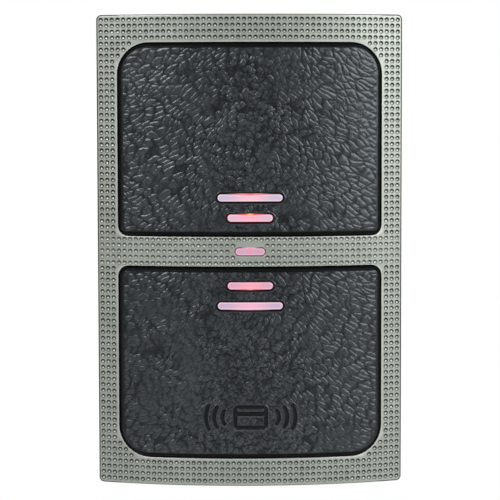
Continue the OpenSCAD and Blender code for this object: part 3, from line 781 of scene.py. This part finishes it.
class Shader:
    """A node material; each call adds one node and returns its first output."""

    def __init__(self, name):
        self.material = bpy.data.materials.new(name)
        self.material.use_nodes = True
        self.tree = self.material.node_tree
        self.surface = self.tree.nodes["Principled BSDF"]
        self.place = self.add("ShaderNodeTexCoord", "Object")

    def add(self, kind, output=0, settings=None, **inputs):
        node = self.tree.nodes.new(kind)
        for key, value in (settings or {}).items():
            setattr(node, key, value)
        for key, value in inputs.items():
            self.feed(node, int(key[1:]) if key[1:].isdigit() else key.replace("_", " "), value)
        return node.outputs[output]

    def feed(self, node, socket, value):
        target = node.inputs[socket]
        if isinstance(value, bpy.types.NodeSocket):
            self.tree.links.new(value, target)
        else:
            target.default_value = value

    def set(self, **inputs):
        for key, value in inputs.items():
            self.feed(self.surface, key.replace("_", " "), value)

    def attribute(self, name):
        return self.add("ShaderNodeAttribute", "Fac", {"attribute_name": name})

    def noise(self, scale, detail):
        return self.add("ShaderNodeTexNoise", "Fac", Vector=self.place, Scale=scale, Detail=detail,
                        Roughness=0.55)

    def math(self, operation, a, b=0.0):
        return self.add("ShaderNodeMath", 0, {"operation": operation}, i0=a, i1=b)

    def remap(self, value, low, high, to_low, to_high):
        return self.add("ShaderNodeMapRange", 0, {"interpolation_type": "SMOOTHSTEP"},
                        i0=value, i1=low, i2=high, i3=to_low, i4=to_high)

    def mix(self, share, a, b):
        return self.add("ShaderNodeMix", 2, {"data_type": "RGBA"}, i0=share, i6=a, i7=b)

    def bump(self, height, distance, strength=1.0, normal=None):
        node = self.add("ShaderNodeBump", 0, None, Strength=strength, Distance=distance, Height=height)
        if normal is not None:
            self.tree.links.new(normal, node.node.inputs["Normal"])
        return node

    def edge_wear(self, radius):
        """1 on outward edges and 0 on flats, from how the surface bends within radius."""
        bevel = self.add("ShaderNodeBevel", 0, {"samples": 4}, Radius=radius)
        geometry = self.add("ShaderNodeNewGeometry", "Normal")
        dot = self.add("ShaderNodeVectorMath", "Value", {"operation": "DOT_PRODUCT"}, i0=bevel, i1=geometry)
        return self.remap(dot, 0.75, 0.98, 1.0, 0.0)


def rgb(*values):
    return (*values, 1.0)


def srgb(*values):
    """A colour from its three 8-bit display values."""
    return rgb(*(v / 255 / 12.92 if v < 11 else ((v / 255 + 0.055) / 1.055) ** 2.4 for v in values))


# ---- Materials ----

def silver_paint():
    s = Shader("silver_paint")
    flakes = s.noise(9000, 2.0)
    mottle = s.noise(140, 4.0)
    cloud = s.noise(22, 2.0)
    base = s.mix(s.remap(flakes, 0.3, 0.7, 0.0, 1.0), rgb(0.31, 0.34, 0.30), rgb(0.425, 0.457, 0.415))
    base = s.mix(s.remap(cloud, 0.35, 0.65, 0.0, 0.35), base, rgb(0.385, 0.42, 0.375))
    grit = s.noise(1900, 2.0)
    base = s.mix(s.remap(grit, 0.55, 0.7, 0.0, 0.5), base, rgb(0.27, 0.30, 0.26))
    worn = s.math("MULTIPLY", s.edge_wear(0.0004), s.remap(mottle, 0.45, 0.7, 0.0, 0.6))
    base = s.mix(worn, base, rgb(0.6, 0.61, 0.59))
    # This mark carries painted shade (dimple walls, outer rounding) and painted highlight (dimple floors,
    # line round the windows)
    painted_light_mark = s.attribute("painted_light_mark")
    # Painted shade: darkens the paint where the mark is positive
    base = s.mix(s.remap(painted_light_mark, 0.0, 1.0, 0.0, 0.96), base, rgb(0.015, 0.018, 0.015))
    # Painted highlight: lightens the paint where the mark is negative
    base = s.mix(s.remap(painted_light_mark, 0.0, -1.0, 0.0, 0.8), base, rgb(0.75, 0.77, 0.74))
    # Painted shade also cuts the gloss where the mark is positive
    s.set(Base_Color=base, Metallic=0.62, Specular_IOR_Level=s.remap(painted_light_mark, 0.0, 1.0, 0.5, 0.12))
    s.set(Roughness=s.remap(mottle, 0.3, 0.7, 0.36, 0.44))
    s.set(Normal=s.bump(flakes, 0.00002, 0.3, s.bump(grit, 0.00003, 0.25)))
    return s.material


def grained_plastic():
    """Semi-gloss on the grain, with painted shade darkening its creases and painted shade making the smooth
    border dead black.
    """
    s = Shader("black_grained_plastic")
    fine = s.noise(6500, 3.0)
    pores = s.noise(2200, 2.0)
    cloud = s.noise(60, 3.0)
    border_shade = s.attribute("border_shade")
    grain = s.attribute("grain")
    base = s.mix(s.remap(cloud, 0.3, 0.7, 0.0, 1.0), rgb(0.018, 0.021, 0.0245), rgb(0.0265, 0.0305, 0.035))
    # Painted shade in the creases: the deeper the grain, the darker
    base = s.mix(s.remap(grain, -0.17, -0.04, 0.95, 0.0), base, rgb(0.001, 0.0012, 0.0015))
    # Painted shade on the border, round the bars and in the sign: near black
    base = s.mix(border_shade, base, rgb(0.002, 0.002, 0.002))
    s.set(Base_Color=base, Specular_Tint=rgb(0.88, 0.96, 1.0))
    # Painted shade also cuts the gloss on the border
    s.set(Specular_IOR_Level=s.math("SUBTRACT", 0.68, s.math("MULTIPLY", border_shade, 0.6)))
    rough = s.remap(pores, 0.3, 0.7, 0.26, 0.35)
    s.set(Roughness=s.math("ADD", rough, s.math("MULTIPLY", border_shade, 0.15)))
    bumps = s.bump(pores, 0.00002, 0.2)
    s.set(Normal=s.bump(fine, 0.00001, 0.2, bumps))
    return s.material


def lens(name, length, height, z, middle, ends, rim, glow, spark, edge, rim_side, reach_in):
    """Milky lens: a painted highlight along its rim and painted shade at its very edge, redder where the lamp
    shines through, pinker in the middle.
    """
    s = Shader(name)
    split = s.add("ShaderNodeSeparateXYZ", 0, None, Vector=s.place)
    across, up = split.node.outputs["X"], split.node.outputs["Z"]
    reach = s.math("ABSOLUTE", across)
    along = s.math("DIVIDE", reach, length / 2 * MM)
    up = s.math("DIVIDE", s.math("SUBTRACT", up, z * MM), height / 2 * MM)
    beyond = s.math("MAXIMUM", s.math("SUBTRACT", reach, (length - height) / 2 * MM), 0.0)
    beyond = s.math("DIVIDE", beyond, height / 2 * MM)
    out = s.math("SQRT", s.math("ADD", s.math("MULTIPLY", beyond, beyond), s.math("MULTIPLY", up, up)))
    colour = s.mix(s.remap(along, 0.0, reach_in, 1.0, 0.0), ends, middle)
    # Painted highlight along the lens's rim
    colour = s.mix(s.math("MULTIPLY", s.remap(out, 0.55, 0.78, 0.0, 1.0), 0.85), colour, rim)
    # Painted shade at the lens's very edge
    colour = s.mix(s.remap(out, 0.77, 0.9, 0.0, 1.0), colour, edge)
    lamp_side = s.remap(s.math("MULTIPLY", up, rim_side), 0.62, 0.82, 0.0, 1.0)
    colour = s.mix(s.math("MULTIPLY", lamp_side, s.remap(along, 0.15, 0.75, 1.0, 0.0)), colour, glow)
    colour = s.mix(s.math("MULTIPLY", lamp_side, s.remap(along, 0.0, 0.2, 1.0, 0.0)), colour, spark)
    haze = s.noise(900, 2.0)
    s.set(Base_Color=rgb(0.05, 0.035, 0.04), Roughness=s.remap(haze, 0.3, 0.7, 0.22, 0.34))
    s.set(Emission_Color=colour, Emission_Strength=0.95, Normal=s.bump(haze, 0.00003, 0.3))
    return s.material


def plain(name, colour, roughness, metallic=0.0, grain=2500, bump=0.00002, variation=0.25, wear=None):
    """A moulded, cast or plated surface: uneven colour and gloss, a fine bump and, if asked, worn edges."""
    s = Shader(name)
    cloud = s.noise(90, 4.0)
    fine = s.noise(grain, 3.0)
    dark = rgb(*(c * (1 - variation) for c in colour))
    light = rgb(*(min(1, c * (1 + variation)) for c in colour))
    base = s.mix(s.remap(cloud, 0.3, 0.7, 0.0, 1.0), dark, light)
    if wear is not None:
        worn = s.math("MULTIPLY", s.edge_wear(0.0003), s.remap(fine, 0.4, 0.7, 0.0, 0.7))
        base = s.mix(worn, base, rgb(*wear))
    s.set(Base_Color=base, Metallic=metallic)
    s.set(Roughness=s.remap(fine, 0.25, 0.75, max(0.02, roughness - 0.08), roughness + 0.08))
    s.set(Normal=s.bump(fine, bump, 0.6))
    return s.material


def galvanised():
    s = Shader("galvanised_plate")
    spangle = s.add("ShaderNodeTexVoronoi", "Color", None, Vector=s.place, Scale=260)
    grey = s.add("ShaderNodeSeparateColor", 0, None, Color=spangle)
    fine = s.noise(3000, 3.0)
    cloud = s.noise(45, 4.0)
    base = s.mix(s.remap(grey, 0.0, 1.0, 0.0, 1.0), rgb(0.50, 0.52, 0.54), rgb(0.66, 0.68, 0.69))
    base = s.mix(s.remap(cloud, 0.5, 0.75, 0.0, 0.4), base, rgb(0.43, 0.44, 0.45))
    base = s.mix(s.math("MULTIPLY", s.edge_wear(0.0003), 0.6), base, rgb(0.78, 0.79, 0.8))
    s.set(Base_Color=base, Metallic=0.9)
    s.set(Roughness=s.remap(grey, 0.0, 1.0, 0.32, 0.5))
    s.set(Normal=s.bump(fine, 0.00002, 0.4, s.bump(grey, 0.00003, 0.15)))
    return s.material


def circuit_board():
    s = Shader("circuit_board")
    tracks = s.add("ShaderNodeTexBrick", "Fac", {"offset": 0.5}, Vector=s.place, Scale=160)
    cloud = s.noise(120, 3.0)
    fine = s.noise(2500, 2.0)
    base = s.mix(s.remap(cloud, 0.3, 0.7, 0.0, 1.0), rgb(0.012, 0.10, 0.045), rgb(0.02, 0.15, 0.07))
    base = s.mix(s.math("MULTIPLY", tracks, 0.5), base, rgb(0.05, 0.26, 0.12))
    s.set(Base_Color=base, Roughness=s.remap(fine, 0.3, 0.7, 0.2, 0.32), Coat_Weight=0.4)
    s.set(Normal=s.bump(tracks, 0.00004, 0.4, s.bump(fine, 0.00001, 0.3)))
    return s.material


def winding():
    s = Shader("copper_winding")
    turns = s.add("ShaderNodeTexWave", "Fac", {"bands_direction": "Y"}, Vector=s.place, Scale=1400)
    cloud = s.noise(200, 3.0)
    base = s.mix(s.remap(cloud, 0.3, 0.7, 0.0, 1.0), rgb(0.42, 0.13, 0.04), rgb(0.62, 0.24, 0.08))
    s.set(Base_Color=base, Metallic=0.8, Roughness=s.remap(turns, 0.0, 1.0, 0.25, 0.4))
    s.set(Normal=s.bump(turns, 0.0001, 0.6))
    return s.material


# ---- Pieces ----

def dress(piece, body, material, slot, *nodes):
    piece.data.materials.clear()
    piece.data.materials.append(material)
    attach(piece, body)
    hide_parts(*nodes)


paint = silver_paint()
leather = grained_plastic()
dress(make_bezel(), "reader", paint, "silver_paint", "front_bezel")
dress(make_panel("grained_panel_upper", True, 11), "reader", leather, "black_grained_plastic", "upper_panel")
dress(make_panel("grained_panel_lower", False, 47), "reader", leather, "black_grained_plastic", "lower_panel")

# Each bar's colours (its middle, ends, rim with its painted highlight, lamp glow, brightest point and edge
# with its painted shade), the side that the glow is on, and how far along it the pink middle reaches
lens_looks = {
    "upper_long_light_bar": (
        srgb(250, 192, 206), srgb(200, 184, 208), srgb(243, 228, 244),
        srgb(246, 120, 125), srgb(240, 90, 95), srgb(50, 10, 18), 1, 0.8),
    "upper_short_light_bar": (
        srgb(252, 172, 194), srgb(222, 182, 204), srgb(252, 224, 238),
        srgb(245, 60, 60), srgb(255, 190, 90), srgb(110, 14, 24), 1, 0.8),
    "centre_light_bar": (
        srgb(236, 142, 172), srgb(206, 160, 186), srgb(238, 194, 214),
        srgb(228, 160, 186), srgb(232, 142, 176), srgb(100, 30, 45), 1, 0.25),
    "lower_short_light_bar": (
        srgb(252, 162, 182), srgb(216, 162, 188), srgb(252, 208, 224),
        srgb(246, 100, 118), srgb(252, 180, 165), srgb(96, 12, 24), -1, 0.8),
    "lower_long_light_bar": (
        srgb(245, 178, 202), srgb(198, 172, 198), srgb(252, 228, 243),
        srgb(240, 185, 205), srgb(245, 190, 208), srgb(70, 12, 26), -1, 0.8),
}
for node, look in lens_looks.items():
    in_bezel = node == "centre_light_bar"
    top, foot = (0.0, -BEZEL_T) if in_bezel else (PANEL_RISE - LENS_SUNK, PANEL_RISE - PANEL_T)
    material = lens("lens_" + node, *BARS[node], *look)
    dress(make_light_bar("lens_" + node, node, top, foot), "reader", material, "light_bar_lens", node)

cad_looks = {
    "light_baffle": plain("black_baffle", (0.012, 0.012, 0.012), 0.6),
    "base_housing": plain("black_housing", (0.018, 0.018, 0.02), 0.55, grain=5000, bump=0.00005,
                          wear=(0.06, 0.06, 0.06)),
    "potting_block": plain("potting_resin", (0.008, 0.008, 0.009), 0.18, grain=300, bump=0.0002),
    "case_screws": plain("zinc_screw", (0.55, 0.55, 0.53), 0.3, 0.95, wear=(0.8, 0.8, 0.78)),
    "threaded_insert": plain("brass_insert", (0.62, 0.42, 0.14), 0.3, 0.95),
    "main_pcb": circuit_board(),
    "antenna_coil": winding(),
    "coil_tapes": plain("amber_tape", (0.55, 0.25, 0.02), 0.25, grain=800),
    "status_leds": plain("led_package", (0.8, 0.76, 0.6), 0.35),
    "controller_chip": plain("chip_resin", (0.02, 0.02, 0.02), 0.5),
    "crystal": plain("tinned_metal", (0.62, 0.62, 0.60), 0.25, 0.95),
    "electrolytic_capacitors": plain("capacitor_can", (0.62, 0.63, 0.65), 0.3, 0.9),
    "tuning_capacitors": plain("film_capacitor_red", (0.40, 0.03, 0.015), 0.25),
    "choke_inductor": plain("ferrite", (0.05, 0.05, 0.055), 0.6),
    "buzzer": plain("buzzer_black", (0.012, 0.012, 0.012), 0.45),
    "cable_grommet": plain("black_rubber", (0.012, 0.012, 0.012), 0.7, grain=1800, bump=0.00006),
    "cable_jacket": plain("cable_jacket_grey", (0.03, 0.03, 0.033), 0.5, grain=1500, bump=0.00008),
    "rating_label": plain("blank_label", (0.52, 0.53, 0.55), 0.4),
    "tamper_switch": plain("switch_black", (0.02, 0.02, 0.022), 0.5),
    "tamper_spring": plain("spring_steel", (0.6, 0.6, 0.6), 0.22, 1.0),
    "tamper_plunger": plain("white_nylon", (0.7, 0.7, 0.66), 0.4),
    "security_screw": plain("lock_steel", (0.52, 0.52, 0.50), 0.28, 1.0, wear=(0.8, 0.8, 0.78)),
    "wall_plate": galvanised(),
}
same_look = {
    "pcb_screws": "case_screws",
    "rf_front_end_chip": "controller_chip",
    "voltage_regulator": "controller_chip",
    "surge_diodes": "controller_chip",
    "chip_resistors": "controller_chip",
    "solder_joints": "crystal",
    "tinned_wire_ends": "crystal",
    "jacket_end_sleeve": "cable_grommet",
    "captive_washer": "tamper_plunger",
}
for node, model in same_look.items():
    cad_looks[node] = cad_looks[model]
for material in frame["record"]["materials"]:
    slot = material["slot"]
    if slot.startswith("wire_"):
        cad_looks[slot] = plain(slot, material["base_color"][:3], 0.35, grain=1200, variation=0.15)

bevels = {
    "base_housing": 0.25, "wall_plate": 0.18, "case_screws": 0.08, "security_screw": 0.12,
    "cable_grommet": 0.2, "jacket_end_sleeve": 0.15, "tamper_plunger": 0.12, "captive_washer": 0.06,
}


def soften(piece, width):
    """Rounds a CAD node's sharp edges with modifiers, which leave its mesh as it is."""
    weld = piece.modifiers.new("weld", "WELD")
    weld.merge_threshold = 1e-6
    flatten = piece.modifiers.new("flatten", "DECIMATE")
    flatten.decimate_type = "DISSOLVE"
    flatten.angle_limit = math.radians(0.5)
    bevel = piece.modifiers.new("bevel", "BEVEL")
    bevel.width = width * MM
    bevel.segments = 2
    bevel.limit_method = "ANGLE"
    bevel.angle_limit = math.radians(40)
    bevel.harden_normals = True


for node, material in cad_looks.items():
    piece = frame["nodes"][node]
    for material_slot in piece.material_slots:
        material_slot.material = material
    if node in bevels:
        soften(piece, bevels[node])


# ---- Studio ----

def area_light(name, place, target, size, power):
    data = bpy.data.lights.new(name, "AREA")
    data.shape = "RECTANGLE"
    data.size, data.size_y = size
    data.energy = power
    light = bpy.data.objects.new(name, data)
    light.location = place
    light.rotation_euler = (Vector(target) - Vector(place)).to_track_quat("-Z", "Y").to_euler()
    bpy.context.scene.collection.objects.link(light)


def sky(nodes, links, direction, start, end, low, high):
    """A background that goes from low strength to high strength towards a direction."""
    way, toward, ramp = (nodes.new(kind) for kind in (
        "ShaderNodeTexCoord", "ShaderNodeVectorMath", "ShaderNodeMapRange"))
    toward.operation = "DOT_PRODUCT"
    toward.inputs[1].default_value = Vector(direction).normalized()
    ramp.interpolation_type = "SMOOTHSTEP"
    for socket, value in zip(list(ramp.inputs)[1:5], (start, end, low, high)):
        socket.default_value = value
    background = nodes.new("ShaderNodeBackground")
    background.inputs["Color"].default_value = rgb(1, 1, 1)
    links.new(way.outputs["Generated"], toward.inputs[0])
    links.new(toward.outputs["Value"], ramp.inputs[0])
    links.new(ramp.outputs[0], background.inputs["Strength"])
    return background.outputs[0]


def studio():
    """Two soft boxes above and to the sides, in a dim room that the camera sees as white."""
    middle = Vector((0, CROWN_Y * MM, 0))
    area_light("left_softbox", (-0.56, -0.68, 0.58), middle, size=(0.5, 0.6), power=7.6)
    area_light("right_softbox", (0.70, -0.60, 0.46), middle, size=(0.7, 0.9), power=9.5)
    area_light("top_strip", (0.05, -0.55, 0.62), middle, size=(0.9, 0.15), power=0.9)

    world = bpy.data.worlds.new("studio")
    bpy.context.scene.world = world
    world.use_nodes = True
    nodes, links = world.node_tree.nodes, world.node_tree.links
    nodes.clear()
    output = nodes.new("ShaderNodeOutputWorld")
    seen = nodes.new("ShaderNodeLightPath")
    room, backdrop = nodes.new("ShaderNodeMixShader"), nodes.new("ShaderNodeMixShader")
    white = nodes.new("ShaderNodeBackground")
    white.inputs["Color"].default_value = rgb(1, 1, 1)
    links.new(seen.outputs["Is Diffuse Ray"], room.inputs[0])
    in_gloss = sky(nodes, links, (0.1, -1, 0.1), start=0.3, end=0.95, low=0.02, high=0.08)
    in_matt = sky(nodes, links, (0, 0, 1), start=-0.6, end=0.9, low=0.1, high=0.48)
    links.new(in_gloss, room.inputs[1])
    links.new(in_matt, room.inputs[2])
    links.new(seen.outputs["Is Camera Ray"], backdrop.inputs[0])
    links.new(room.outputs[0], backdrop.inputs[1])
    links.new(white.outputs[0], backdrop.inputs[2])
    links.new(backdrop.outputs[0], output.inputs["Surface"])


def floor():
    """A pale floor well below the reader: white to the camera, clear from beneath."""
    half, drop = 4.0, -0.45
    mesh = bpy.data.meshes.new("floor")
    mesh.from_pydata([(-half, -half, drop), (half, -half, drop), (half, half, drop), (-half, half, drop)], [],
                     [(0, 1, 2, 3)])
    piece = bpy.data.objects.new("floor", mesh)
    bpy.context.scene.collection.objects.link(piece)
    s = Shader("pale_floor")
    cloud = s.noise(3, 2.0)
    s.set(Base_Color=s.mix(cloud, rgb(0.8, 0.8, 0.8), rgb(0.84, 0.84, 0.84)), Roughness=0.8)
    tree = s.tree
    output = tree.nodes["Material Output"]
    glow = tree.nodes.new("ShaderNodeEmission")
    clear = tree.nodes.new("ShaderNodeBsdfTransparent")
    seen, side = tree.nodes.new("ShaderNodeLightPath"), tree.nodes.new("ShaderNodeNewGeometry")
    first, second = tree.nodes.new("ShaderNodeMixShader"), tree.nodes.new("ShaderNodeMixShader")
    tree.links.new(seen.outputs["Is Camera Ray"], first.inputs[0])
    tree.links.new(s.surface.outputs[0], first.inputs[1])
    tree.links.new(glow.outputs[0], first.inputs[2])
    tree.links.new(side.outputs["Backfacing"], second.inputs[0])
    tree.links.new(first.outputs[0], second.inputs[1])
    tree.links.new(clear.outputs[0], second.inputs[2])
    tree.links.new(second.outputs[0], output.inputs["Surface"])
    mesh.materials.append(s.material)


def camera():
    """A long lens, a little left of and above the reader's middle, level with its face."""
    data = bpy.data.cameras.new("camera")
    data.lens = 146.9
    data.sensor_width = 36
    data.clip_start = 0.01
    piece = bpy.data.objects.new("camera", data)
    place = Vector((-7.0, -537.3, 38.0)) * MM
    aim = Vector((-0.05, CROWN_Y, 0.47)) * MM
    roll = Matrix.Rotation(-0.0021, 3, "Z")
    turn = (aim - place).to_track_quat("-Z", "Y").to_matrix() @ roll
    piece.matrix_world = Matrix.Translation(place) @ turn.to_4x4()
    bpy.context.scene.collection.objects.link(piece)
    bpy.context.scene.camera = piece


studio()
floor()
camera()
bpy.context.scene.view_settings.view_transform = "Standard"
